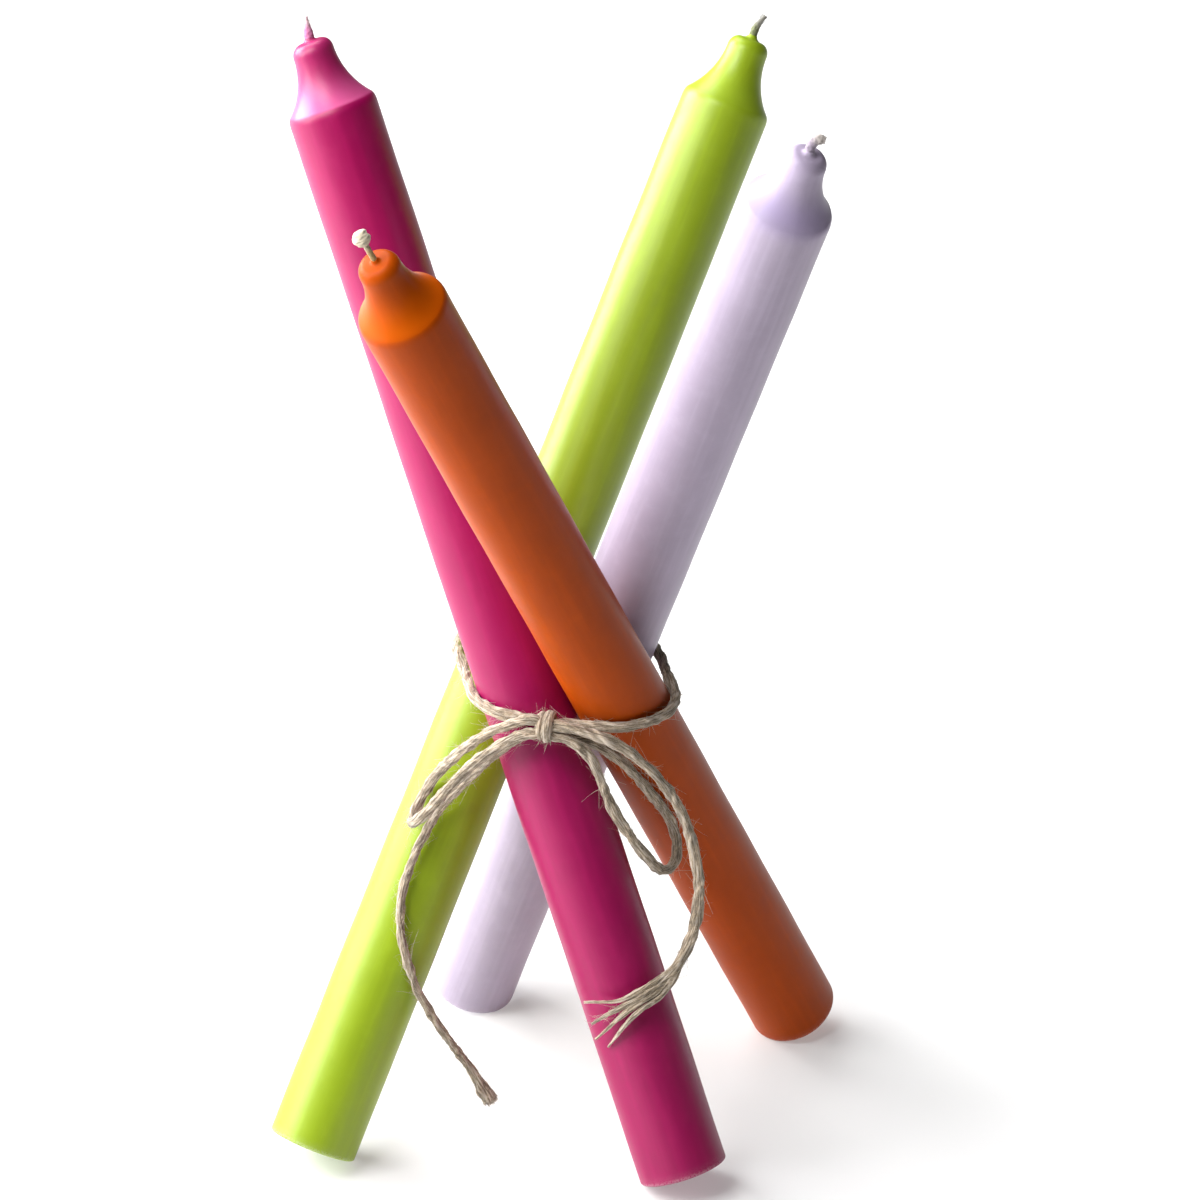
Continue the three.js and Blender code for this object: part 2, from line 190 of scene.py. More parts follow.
class CandleSizes(bpy.types.PropertyGroup):
    """Sizes of one dinner candle that its solid doesn't give."""

    foot_bevel: FloatProperty(
        name="Foot bevel", description="Rounding of the foot's rim", default=0.0006, unit="LENGTH"
    )
    shoulder_drop: FloatProperty(
        name="Shoulder drop", description="From the nub's top down to the shoulder",
        default=0.0183, unit="LENGTH",
    )
    crease_drop: FloatProperty(
        name="Crease drop", description="From the nub's top down to the crease ring",
        default=0.016, unit="LENGTH",
    )
    crease_inset: FloatProperty(
        name="Crease inset", description="How much thinner the candle is in the crease",
        default=0.0007, unit="LENGTH",
    )
    crease_width: FloatProperty(
        name="Crease width", description="Height over which the tip's tint starts at the crease",
        default=0.0007, unit="LENGTH",
    )
    nub_radius: FloatProperty(
        name="Nub radius", description="Radius of the nub's side", default=0.0051, unit="LENGTH"
    )
    nub_flat_radius: FloatProperty(
        name="Nub flat radius", description="Radius of the nub's flat top",
        default=0.0025, unit="LENGTH",
    )
    nub_rounding: FloatProperty(
        name="Nub rounding", description="Height of the nub's round corner",
        default=0.0029, unit="LENGTH",
    )
    waviness: FloatProperty(
        name="Waviness", description="How uneven the moulded surface is",
        default=0.00004, unit="LENGTH",
    )
    wick_diameter: FloatProperty(
        name="Wick diameter", description="Diameter of the braided wick", default=0.002, unit="LENGTH"
    )
    wick_recess: FloatProperty(
        name="Wick recess", description="How far the wick stops inside the foot",
        default=0.0005, unit="LENGTH",
    )


class TwineSizes(bpy.types.PropertyGroup):
    """Sizes of the jute twine and of its fluff."""

    diameter: FloatProperty(
        name="Diameter", description="Diameter of the twine", default=0.0026, unit="LENGTH"
    )
    lay: FloatProperty(
        name="Lay", description="Length of one turn of the yarns", default=0.0175, unit="LENGTH"
    )
    yarns: IntProperty(name="Yarns", description="Number of yarns twisted together", default=3)
    slub: FloatProperty(
        name="Slub", description="Unevenness of the thickness, as a share of it", default=0.1
    )
    ridge: FloatProperty(
        name="Fibre ridge", description="Height of the fibres on the surface",
        default=0.00007, unit="LENGTH",
    )
    fibres_per_metre: IntProperty(
        name="Fibres per metre", description="Loose fibres along each metre of twine", default=6500
    )
    fibre_length: FloatProperty(
        name="Fibre length", description="Usual length of a loose fibre", default=0.0018, unit="LENGTH"
    )
    fibre_radius: FloatProperty(
        name="Fibre radius", description="Radius of a loose fibre at its root",
        default=0.000048, unit="LENGTH",
    )


class FinishColours(bpy.types.PropertyGroup):
    """Base colours of the waxes, the wicks and the twine."""

    pink: FloatVectorProperty(
        name="Pink wax", description="Base colour", subtype="COLOR", default=linear(153, 3, 80)
    )
    orange: FloatVectorProperty(
        name="Orange wax", description="Base colour", subtype="COLOR", default=linear(171, 68, 2)
    )
    green: FloatVectorProperty(
        name="Green wax", description="Base colour", subtype="COLOR", default=linear(144, 169, 24)
    )
    lilac: FloatVectorProperty(
        name="Lilac wax", description="Base colour", subtype="COLOR", default=linear(172, 160, 180)
    )
    cotton: FloatVectorProperty(
        name="Wick cotton", description="Base colour", subtype="COLOR", default=linear(214, 206, 188)
    )
    jute: FloatVectorProperty(
        name="Jute", description="Base colour", subtype="COLOR", default=linear(184, 165, 139)
    )


class StageLight(bpy.types.PropertyGroup):
    """Strengths of the studio's lights."""

    side: FloatProperty(name="Side", description="Left softbox in watts", default=15.0)
    back: FloatProperty(name="Back", description="Back left softbox in watts", default=23.3)
    high: FloatProperty(name="High", description="High left softbox in watts", default=13.1)
    high_back: FloatProperty(
        name="High back", description="High softbox behind in watts", default=8.5
    )
    room: FloatProperty(
        name="Room", description="Brightness of the surroundings on the left", default=0.15
    )
    dark_side: FloatProperty(
        name="Dark side", description="Brightness of the surroundings on the right", default=0.02
    )
    floor: FloatProperty(name="Floor", description="Glow of the pale floor", default=0.3)


class TiedCandles(bpy.types.PropertyGroup):
    """Everything that can be set on the tied candles."""

    candle: PointerProperty(type=CandleSizes)
    twine: PointerProperty(type=TwineSizes)
    colours: PointerProperty(type=FinishColours)
    light: PointerProperty(type=StageLight)


def unit(vectors):
    """Vectors divided by their lengths."""
    return vectors / np.linalg.norm(vectors, axis=-1, keepdims=True)


def ramp(value, low, high):
    """0 below low, 1 above high and the S of t²(3 - 2t) between them."""
    t = np.clip((value - low) / (high - low), 0, 1)
    return t * t * (3 - 2 * t)


def waves(rng, angle, along, turns, lengths):
    """A smooth unevenness of about 1.

    It is the sum of cosines that have whole turns round and given lengths along, over the root of
    half their number.
    """
    total = np.zeros(np.broadcast(angle, along).shape)
    for around in turns:
        for length in lengths:
            total = total + np.cos(around * angle + TURN * along / length + rng.uniform(0, TURN))
    return total / np.sqrt(len(turns) * len(lengths) / 2)


def streaks(rng, rows, sides, reach):
    """Random ridges that run along a surface: noise averaged over a number of rows, from -1 to 1."""
    noise = rng.normal(size=(rows + reach, sides))
    total = np.cumsum(noise, axis=0)
    smooth = (total[reach:] - total[:rows]) / np.sqrt(reach)
    return np.tanh(smooth)


def distances(points):
    """How far along a line of points each of them is."""
    return np.concatenate([[0], np.cumsum(np.linalg.norm(np.diff(points, axis=0), axis=1))])


def spaced(points, step):
    """Points about a step apart along a line of points, by their distance along it."""
    along = distances(points)
    at = np.linspace(0, along[-1], int(np.ceil(along[-1] / step)) + 1)
    return np.stack([np.interp(at, along, points[:, k]) for k in range(3)], axis=1)


def spline(polygon, step):
    """The clamped cubic B-spline of a control polygon, as points a step apart.

    Its basis functions are built up degree by degree by the Cox-de Boor formula, each for all the
    parameters at once, and the points are the basis times the polygon.
    """
    polygon = np.asarray(polygon, float)
    degree, count = 3, len(polygon)
    knots = np.concatenate([np.zeros(degree), np.linspace(0, 1, count - degree + 1), np.ones(degree)])
    at = np.linspace(0, 1, 40 * count)
    at[-1] -= 1e-9
    basis = ((at >= knots[:-1, None]) & (at < knots[1:, None])).astype(float)
    for rise in range(1, degree + 1):
        start, end = knots[:-rise - 1, None], knots[rise + 1:, None]
        low, high = knots[rise:-1, None] - start, end - knots[1:-rise, None]
        up = np.divide(at - start, low, out=np.zeros((len(low), len(at))), where=low > 0)
        down = np.divide(end - at, high, out=np.zeros((len(high), len(at))), where=high > 0)
        basis = up * basis[:-1] + down * basis[1:]
    return spaced(basis.T @ polygon, step)


def normals_along(points):
    """Tangents and two normals that don't spin, along a line of points.

    The normals start from the fixed direction that the line stays furthest from. They are turned
    back by the running sum of the angle that they gain, row by row, on a normal that is only tilted
    with the tangent.
    """
    tangents = unit(np.gradient(points, axis=0))
    rise = np.linspace(-1, 1, 200)
    swing = np.arange(len(rise)) * np.pi * (3 - np.sqrt(5))
    flat = np.sqrt(1 - rise ** 2)
    ways = np.stack([flat * np.cos(swing), flat * np.sin(swing), rise], axis=1)
    reference = ways[np.abs(ways @ tangents.T).max(axis=1).argmin()]
    normal = unit(reference - (tangents @ reference)[:, None] * tangents)
    side = np.cross(tangents, normal)
    tilt = np.cross(tangents[:-1], tangents[1:])
    cosine = (tangents[:-1] * tangents[1:]).sum(axis=1, keepdims=True)
    drop = (tilt * normal[:-1]).sum(axis=1, keepdims=True) / (1 + cosine)
    carried = normal[:-1] * cosine + np.cross(tilt, normal[:-1]) + tilt * drop
    gained = np.arctan2((carried * side[1:]).sum(axis=1), (carried * normal[1:]).sum(axis=1))
    angle = np.concatenate([[0], np.cumsum(gained)])[:, None]
    cosine, sine = np.cos(angle), np.sin(angle)
    return tangents, cosine * normal + sine * side, cosine * side - sine * normal


def spokes(sides, across, over):
    """The ways out from each line: across cos a + over sin a, with a = 2 pi j / sides."""
    angle = TURN * np.arange(sides) / sides
    cosine, sine = np.cos(angle)[None, :, None], np.sin(angle)[None, :, None]
    return cosine * across[:, None] + sine * over[:, None]


def tube(path, radius):
    """A tube's rings: the path plus the radius, given by rows and sides, times the spokes."""
    _, normal, side = normals_along(path)
    return path[:, None] + radius[:, :, None] * spokes(radius.shape[1], normal, side)


class Surface:
    """Points, faces and point attributes of one piece, gathered from tubes and rings."""

    def __init__(self):
        self.points, self.quads, self.triangles = [], [], []
        self.attributes = {}
        self.size = 0

    def _keep(self, points, attributes):
        for name, values in attributes.items():
            self.attributes.setdefault(name, []).append(values)
        self.points.append(points)
        first = self.size
        self.size += len(points)
        return first

    def add_tubes(self, rings, **attributes):
        """Closed tubes from rings of shape (tubes, rows, sides, 3).

        Between neighbouring points lies a quad, and over each end a fan of triangles. An attribute is
        given per ring point, and an end's centre gets the mean of its ring.
        """
        count, rows, sides, _ = rings.shape
        ends = rings[:, [0, -1]].mean(axis=2)
        points = np.concatenate([rings.reshape(count, -1, 3), ends], axis=1)
        extra = {}
        for name, values in attributes.items():
            values = np.broadcast_to(values, rings.shape[:3] + values.shape[3:])
            caps = values[:, [0, -1]].mean(axis=2)
            body = values.reshape((count, rows * sides) + values.shape[3:])
            extra[name] = np.concatenate([body, caps], axis=1).reshape((-1,) + values.shape[3:])
        first = self._keep(points.reshape(-1, 3), extra)
        base = first + np.arange(count)[:, None, None] * (rows * sides + 2)
        row, j = np.arange(rows - 1)[None, :, None] * sides, np.arange(sides)[None, None, :]
        k = (j + 1) % sides
        corners = [base + row + j, base + row + k, base + row + sides + k, base + row + sides + j]
        self.quads.append(np.stack([c.ravel() for c in np.broadcast_arrays(*corners)], axis=1))
        foot, top = base + rows * sides, base + rows * sides + 1
        last = (rows - 1) * sides
        for fan in ([foot, base + k, base + j], [top, base + last + j, base + last + k]):
            self.triangles.append(np.stack([c.ravel() for c in np.broadcast_arrays(*fan)], axis=1))

    def add_ring_body(self, rings, **attributes):
        """A body closed both ways, from rings of shape (rows, sides, 3).

        Its last row meets the first, and a quad lies between each two neighbours.
        """
        rows, sides, _ = rings.shape
        first = self._keep(rings.reshape(-1, 3), {
            name: values.reshape((-1,) + values.shape[2:]) for name, values in attributes.items()
        })
        i, j = np.meshgrid(np.arange(rows), np.arange(sides), indexing="ij")
        up, on = (i + 1) % rows, (j + 1) % sides
        corners = [i * sides + j, i * sides + on, up * sides + on, up * sides + j]
        self.quads.append(first + np.stack([c.ravel() for c in corners], axis=1))

    def piece(self, name, body, slot, finish, *nodes):
        """The finished object, riding on a body, with its finish and standing for its nodes; its slot
        argument is not used.
        """
        points = np.concatenate(self.points)
        quads = np.concatenate(self.quads)
        triangles = np.concatenate(self.triangles) if self.triangles else np.zeros((0, 3), int)
        mesh = bpy.data.meshes.new(name)
        mesh.vertices.add(len(points))
        mesh.vertices.foreach_set("co", points.ravel())
        mesh.loops.add(quads.size + triangles.size)
        mesh.loops.foreach_set("vertex_index", np.concatenate([quads.ravel(), triangles.ravel()]))
        starts = np.concatenate([np.arange(len(quads)) * 4, quads.size + np.arange(len(triangles)) * 3])
        mesh.polygons.add(len(starts))
        mesh.polygons.foreach_set("loop_start", starts)
        for label, parts in self.attributes.items():
            values = np.concatenate(parts).astype(np.float32)
            kind, key = ("FLOAT", "value") if values.ndim == 1 else ("FLOAT_VECTOR", "vector")
            mesh.attributes.new(label, kind, "POINT").data.foreach_set(key, values.ravel())
        mesh.update(calc_edges=True)
        if mesh.validate():
            raise RuntimeError(f"{name} has faces that don't hold together")
        mesh.shade_smooth()
        made = bpy.data.objects.new(name, mesh)
        bpy.context.scene.collection.objects.link(made)
        mesh.materials.append(finish)
        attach(made, body)
        if nodes:
            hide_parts(*nodes)
        return made


class Number:
    """A number socket in a finish; sums and products with it add Math nodes."""

    def __init__(self, finish, socket):
        self.finish, self.socket = finish, socket

    def _math(self, operation, first, second):
        return self.finish.number("ShaderNodeMath", {"operation": operation}, {0: first, 1: second})

    def __add__(self, other):
        return self._math("ADD", self, other)

    def __sub__(self, other):
        return self._math("SUBTRACT", self, other)

    def __rsub__(self, other):
        return self._math("SUBTRACT", other, self)

    def __mul__(self, other):
        return self._math("MULTIPLY", self, other)

    __radd__, __rmul__ = __add__, __mul__


class Nodes:
    """The nodes of a material or a world being put together."""

    def __init__(self, holder):
        holder.use_nodes = True
        self.tree = holder.node_tree
        self.tree.nodes.clear()

    def node(self, kind, settings=None, sockets=None):
        """A node of a type, with its settings first, and then its sockets' values or links."""
        made = self.tree.nodes.new(kind)
        for key, value in (settings or {}).items():
            setattr(made, key, value)
        for key, value in (sockets or {}).items():
            socket = made.inputs[key] if isinstance(key, int) else self._named(made.inputs, key)
            source = value.socket if isinstance(value, Number) else value
            if isinstance(source, bpy.types.NodeSocket):
                self.tree.links.new(source, socket)
            elif socket.type == "RGBA" and len(source) == 3:
                socket.default_value = (*source, 1)
            else:
                socket.default_value = source
        return made

    @staticmethod
    def _named(sockets, key):
        return next((s for s in sockets if s.identifier == key), None) or sockets[key]

    def number(self, kind, settings=None, sockets=None, output=0):
        """The number that a node gives."""
        return Number(self, self.node(kind, settings, sockets).outputs[output])

    def attribute(self, name, output="Fac"):
        return self.node("ShaderNodeAttribute", {"attribute_name": name}).outputs[output]

    def stretched(self, place, scale):
        """A place scaled differently each way."""
        return self.node("ShaderNodeMapping", None, {"Vector": place, "Scale": scale}).outputs["Vector"]

    def noise(self, place, scale, detail=2.0, roughness=0.5):
        """Smooth noise of about 0 to 1, with scale features to the metre."""
        return self.number("ShaderNodeTexNoise", None, {
            "Vector": place, "Scale": scale, "Detail": detail, "Roughness": roughness,
        })

    def between(self, value, low, high):
        """0 where the value is low, 1 where it is high, smooth between."""
        return self.number("ShaderNodeMapRange", {"interpolation_type": "SMOOTHSTEP"}, {
            "Value": value, "From Min": low, "From Max": high,
        })

    def mixed(self, first, second, share):
        """One colour turning into another by a share."""
        return self.node("ShaderNodeMix", {"data_type": "RGBA"}, {
            "A_Color": first, "B_Color": second, "Factor_Float": share,
        }).outputs[2]

    def bump(self, height, distance, strength=1.0):
        return self.node("ShaderNodeBump", None, {
            "Height": height, "Distance": distance, "Strength": strength,
        }).outputs["Normal"]


class Finish(Nodes):
    """A surface's material being put together."""

    def __init__(self, name):
        self.material = bpy.data.materials.new(name)
        super().__init__(self.material)

    def done(self, sockets):
        """The surface shader with these sockets, and the finished material."""
        shader = self.node("ShaderNodeBsdfPrincipled", None, sockets)
        self.node("ShaderNodeOutputMaterial", None, {"Surface": shader.outputs[0]})
        return self.material


def shaded(colour, factor):
    """A colour made darker or lighter."""
    return tuple(min(1.0, c * factor) for c in colour)


def blended(first, second, share):
    """A colour between two."""
    return tuple(a + (b - a) * share for a, b in zip(first, second))


def wax_finish(name, base, tip_colour_and_painted_light, shine):
    """Dyed wax: a cloudy tint with faint draw marks, a matte bloom, a tinted tip that is partly painted
    light and a scuffed rim.
    """
    finish = Finish(f"{name} wax")
    place = finish.attribute("wax_place", "Vector")
    tip = Number(finish, finish.attribute("tip_share"))
    scuff = Number(finish, finish.attribute("scuff"))
    cloud = finish.noise(place, 70.0, 3.0)
    marks = finish.noise(finish.stretched(place, (1, 1, 0.05)), 520.0, 3.0)
    bloom = finish.between(finish.noise(place, 260.0, 5.0, 0.62), 0.45, 0.72)
    grain = finish.noise(place, 2600.0, 2.0)
    deep, light, pale = shaded(base, 0.72), shaded(base, 1.3), blended(base, (1, 1, 1), 0.3)
    colour = finish.mixed(base, deep, finish.between(cloud, 0.35, 0.75) * 0.22)
    colour = finish.mixed(colour, light, bloom * 0.15 + finish.between(marks, 0.42, 0.75) * 0.3)
    colour = finish.mixed(colour, pale, scuff * finish.between(grain, 0.3, 0.6) * 0.55)
    # The tip's tint, partly painted light: a painted reflection on the pink, a painted glow on the
    # orange and painted shade on the lilac
    colour = finish.mixed(colour, tip_colour_and_painted_light, tip * 0.9)
    roughness = 0.37 + bloom * 0.06 + marks * 0.05 + scuff * 0.2 - tip * 0.03
    height = marks * 0.5 + bloom * 0.35 + grain * 0.15
    return finish.done({
        "Base Color": colour,
        "Roughness": roughness,
        "Subsurface Weight": 0.15,
        "Subsurface Radius": tuple(0.25 + 0.75 * c for c in base),
        "Subsurface Scale": 0.003,
        "Specular IOR Level": shine,
        "Normal": finish.bump(height, 0.00006, 0.5),
    })


def cotton_finish(name, base, soaked):
    """Braided cotton, darker between the strands as painted shade, with a fine fuzz, soaked in wax near
    the nub.
    """
    finish = Finish(f"{name} wick cotton")
    place = finish.node("ShaderNodeTexCoord").outputs["Object"]
    depth = Number(finish, finish.attribute("depth"))
    soak = Number(finish, finish.attribute("soak"))
    fuzz = finish.noise(place, 6000.0, 3.0)
    stain = finish.noise(place, 700.0, 2.0)
    # Painted shade: the cotton is darkened between the braid's strands
    colour = finish.mixed(base, shaded(base, 0.45), depth * 0.45)
    colour = finish.mixed(colour, shaded(base, 0.6), finish.between(stain, 0.4, 0.8) * 0.4)
    colour = finish.mixed(colour, soaked, soak * 0.75)
    return finish.done({
        "Base Color": colour,
        "Roughness": 0.72 + fuzz * 0.2,
        "Sheen Weight": 0.25,
        "Normal": finish.bump(fuzz, 0.00008, 0.6),
    })


def jute_finish(name, base, loose=False):
    """Jute: fibres of light and dark straw along the yarns, with dark brown painted shade in the
    valleys between them.
    """
    finish = Finish(name)
    place = finish.node("ShaderNodeTexCoord").outputs["Object"]
    blotch = finish.noise(place, 320.0, 3.0)
    fine = finish.noise(place, 5200.0, 3.0)
    pale, dark = blended(base, (1, 1, 1), 0.36), shaded(base, 0.26)
    colour = finish.mixed(base, dark, finish.between(blotch, 0.38, 0.68) * 0.55)
    if loose:
        colour = finish.mixed(colour, pale, finish.between(fine, 0.4, 0.6) * 0.6)
        return finish.done({"Base Color": colour, "Roughness": 0.85, "Sheen Weight": 0.2})
    fibre = Number(finish, finish.attribute("fibre"))
    valley = Number(finish, finish.attribute("valley"))
    along = finish.noise(finish.attribute("fibre_place", "Vector"), 1.0, 3.0, 0.6)
    colour = finish.mixed(colour, pale, finish.between(fibre + along, 0.95, 1.45) * 0.6)
    colour = finish.mixed(colour, dark, finish.between(fibre + along, 1.1, 0.5) * 0.9)
    # Painted shade: the valleys between the yarns are darkened, as if in shadow
    colour = finish.mixed(colour, shaded(base, 0.22), valley * 0.5)
    return finish.done({
        "Base Color": colour,
        "Roughness": 0.78 + along * 0.18,
        "Sheen Weight": 0.2,
        "Normal": finish.bump(along * 0.7 + fine * 0.3, 0.00012, 0.7),
    })


class CandlePlace:
    """Where a candle is, read from its joint and its solid.

    It has the foot's centre, the axis, the way across it towards its lean, the level way across, the
    length, the radius, the heading of the lean and the point where the axis crosses the tie's height.
    """

    def __init__(self, colour):
        joint = next(j for j in frame["joints"] if j["child"] == f"{colour}_candle")
        solid = frame["nodes"][f"{colour}_candle_wax"].data
        points = np.empty(len(solid.vertices) * 3, np.float32)
        solid.vertices.foreach_get("co", points)
        points = points.reshape(-1, 3).astype(float)
        self.axis = unit(np.array(joint["axis"], float))
        self.level = unit(np.array((-self.axis[1], self.axis[0], 0)))
        self.lean_way = np.cross(self.level, self.axis)
        height = points @ self.axis
        foot = np.unique(np.round(points[height < height.min() + 1e-5], 7), axis=0)
        self.foot = (foot.min(axis=0) + foot.max(axis=0)) / 2
        local = points - self.foot
        self.foot = self.foot + self.axis * (local @ self.axis).min()
        self.length = float(np.ptp(height))
        off = local - (local @ self.axis)[:, None] * self.axis
        self.radius = float(np.linalg.norm(off, axis=1).max())
        self.heading = float(np.arctan2(self.axis[1], self.axis[0]))
        self.crossing = self.foot + self.axis * (TIE_HEIGHT - self.foot[2]) / self.axis[2]

    def placed(self, local):
        """Points given across towards the lean, level across and up the candle, in the frame."""
        return self.foot + local @ np.stack([self.lean_way, self.level, self.axis])


def places():
    return {colour: CandlePlace(colour) for colour in COLOURS}


def taut_loop(reach, directions=720):
    """The taut loop round the four leaning candles at the tie's height, once round from the front.

    A candle's level section, grown by reach, is an ellipse with half axes r and r / cos(lean), long
    along its heading. For each direction the loop's point is the furthest one of the ellipse that
    reaches furthest: (a² cos t, b² sin t) / hypot(a cos t, b sin t) in the ellipse's own axes. The loop
    starts where it passes from the pink candle to the orange one.
    """
    angle = TURN * np.arange(directions) / directions
    way = np.stack([np.cos(angle), np.sin(angle)], axis=1)
    found = []
    for place in places().values():
        short = place.radius + reach
        long = short / place.axis[2]
        turn = angle - place.heading
        span = np.hypot(long * np.cos(turn), short * np.sin(turn))
        across = np.stack([long ** 2 * np.cos(turn) / span, short ** 2 * np.sin(turn) / span], axis=1)
        heading = np.array((np.cos(place.heading), np.sin(place.heading)))
        turned = across[:, :1] * heading + across[:, 1:] * np.array((-heading[1], heading[0]))
        found.append(place.crossing[:2] + turned)
    found = np.stack(found)
    best = (found * way).sum(axis=2).argmax(axis=0)
    loop = found[best, np.arange(directions)]
    pink, orange = COLOURS.index("pink"), COLOURS.index("orange")
    start = int(np.flatnonzero((best == orange) & (np.roll(best, 1) == pink))[0])
    return np.column_stack([np.roll(loop, -start, axis=0), np.full(directions, TIE_HEIGHT)])


class KnotPlace:
    """Where the knot is: on the front straight of the band, near the pink candle."""

    def __init__(self):
        loop = taut_loop(SOLID_REACH, SOLID_DIRECTIONS)
        self.along = unit(loop[0] - loop[-1])
        self.inward = np.array((-self.along[1], self.along[0], 0))
        self.centre = loop[-1] + self.along * KNOT_FROM_PINK

    def placed(self, local):
        """Points of the knot's own frame, in the frame."""
        return self.centre + np.asarray(local) @ np.stack([self.along, self.inward, (0, 0, 1)])


def yarn_backs(angle, yarns, filling):
    """The outline of round yarns laid side by side round a cord, as a share of its radius.

    With p = sin(pi/n) / (1 + sin(pi/n)) the yarns of radius p lie 1 - p from the middle and touch. At
    an angle a from a yarn's middle its back is at (1 - p) cos a + sqrt(p² - (1 - p)² sin² a), and the
    valleys are filled to a share of the radius by the eighth-power mean.
    """
    half = np.sin(np.pi / yarns)
    size = half / (1 + half)
    off = (angle * yarns / TURN + 0.5) % 1 - 0.5
    off = off * TURN / yarns
    across = (1 - size) * np.sin(off)
    back = (1 - size) * np.cos(off) + np.sqrt(np.maximum(size ** 2 - across ** 2, 0))
    return (back ** 8 + filling ** 8) ** 0.125


# The colour streaks on twine: how many there are round it, over 2 pi, and how long one is
STREAKS_ROUND, STREAK_LENGTH = 3.2, 0.0022


def twisted(rng, path, radius, sizes, sides=48, filling=0.87):
    """Twisted twine along a path: rings and attributes.

    The radius at (row, angle) is the row's radius times 1 + slub waves, times the yarns' backs turned
    by 2 pi s / lay and by a slow wander, plus ridges of fibre that run along the twine.
    """
    rows, along = len(path), distances(path)
    angle = TURN * np.arange(sides)[None] / sides
    wander = 0.5 * waves(rng, 0 * angle[:, :1], along[:, None], (1,), (0.013, 0.029))
    lay = TURN * along[:, None] / sizes.lay + wander
    backs = yarn_backs(angle - lay, sizes.yarns, filling)
    slub = 1 + sizes.slub * waves(rng, angle - lay, along[:, None], (0, 1, 2), (0.007, 0.017, 0.041))
    ridges = streaks(rng, rows, sides, 14)
    size = np.asarray(radius) * np.ones(rows)
    reach = size[:, None] * slub * backs + sizes.ridge * ridges
    rings = tube(path, reach)
    streak_turn = angle - 0.35 * lay
    fibre_place = np.stack(np.broadcast_arrays(
        STREAKS_ROUND * np.cos(streak_turn), STREAKS_ROUND * np.sin(streak_turn),
        along[:, None] / STREAK_LENGTH,
    ), axis=-1)
    attributes = {
        "fibre": 0.5 + 0.5 * ridges,
        # How deep each point lies between the yarns; the finish darkens it there as painted shade
        "valley": ramp(1 - backs, 0.03, 0.17),
        "fibre_place": fibre_place,
    }
    return rings, attributes


def add_twine(surface, rng, path, radius, sizes, **options):
    """Adds twisted twine to a surface."""
    rings, attributes = twisted(rng, path, radius, sizes, **options)
    surface.add_tubes(rings[None], **{name: values[None] for name, values in attributes.items()})


def add_fluff(surface, rng, path, radius, sizes, density=1.0, lift=0.9, reach=1.0):
    """Jute's loose fibres along a stretch.

    Half of them are long and lie close, most others are short and stand off, and a few that stand
    off are long. Each group has its share of their number, its length and its lift.
    """
    count = density * sizes.fibres_per_metre * distances(path)[-1]
    usual = reach * sizes.fibre_length
    for share, length, lifted in ((0.5, 1.5, 0.22), (0.44, 0.5, lift), (0.06, 1.15, lift)):
        add_loose_fibres(
            surface, rng, path, radius, int(share * count), length * usual, sizes.fibre_radius, lifted
        )


def add_loose_fibres(surface, rng, path, radius, count, length, thickness, lift):
    """Loose fibres on twine: bent hairs of three sides that start inside it.

    Each follows root + L (t u + t² v), with u part along the twine and part outwards, v a random bend,
    and thins as 1 - 0.6 t.
    """
    rows, sides = 6, 3
    tangents, normal, side = normals_along(path)
    at = rng.integers(1, len(path) - 1, count)
    turn = rng.uniform(0, TURN, count)[:, None]
    out = np.cos(turn) * normal[at] + np.sin(turn) * side[at]
    size = (np.asarray(radius) * np.ones(len(path)))[at][:, None]
    root = path[at] + out * size * 0.75
    way = rng.choice((-1.0, 1.0), count)[:, None]
    u = unit(way * tangents[at] + out * rng.uniform(0.15, 2 * lift, count)[:, None]
             + 0.4 * lift * rng.normal(size=(count, 3)))
    v = 0.45 * rng.normal(size=(count, 3)) * min(1.0, 0.3 + lift)
    long = length * rng.lognormal(0, 0.45, count)[:, None, None]
    t = np.linspace(0, 1, rows)[None, :, None]
    line = root[:, None] + long * (t * u[:, None] + t ** 2 * v[:, None])
    across = unit(np.cross(u, v))
    spoke = spokes(sides, across, np.cross(unit(u), across))
    thin = thickness * (1 - 0.6 * t) * rng.uniform(0.7, 1.3, count)[:, None, None]
    surface.add_tubes(line[:, :, None] + thin[..., None] * spoke[:, None])


def softbox(name, place, power):
    """A square area light that looks at the object's middle."""
    light = bpy.data.lights.new(name, "AREA")
    light.shape, light.size, light.energy = "SQUARE", SOFTBOX_WIDTH, power
    made = bpy.data.objects.new(name, light)
    made.location = place
    made.rotation_mode = "QUATERNION"
    made.rotation_quaternion = (SOFTBOX_AIM - Vector(place)).to_track_quat("-Z", "Y")
    bpy.context.scene.collection.objects.link(made)


# The softboxes: where each one hangs and the setting with its power
SOFTBOXES = {
    "left_softbox": ((-1.064, -0.188, 0.533), "side"),
    "back_left_softbox": ((-0.936, 0.54, 0.533), "back"),
    "high_left_softbox": ((-0.54, -0.379, 1.082), "high"),
    "high_back_softbox": ((-0.37, 0.64, 1.021), "high_back"),
}
SOFTBOX_WIDTH = 0.7
SOFTBOX_AIM = Vector((0, 0, 0.14))
FLOOR_HALF_WIDTH = 4.0


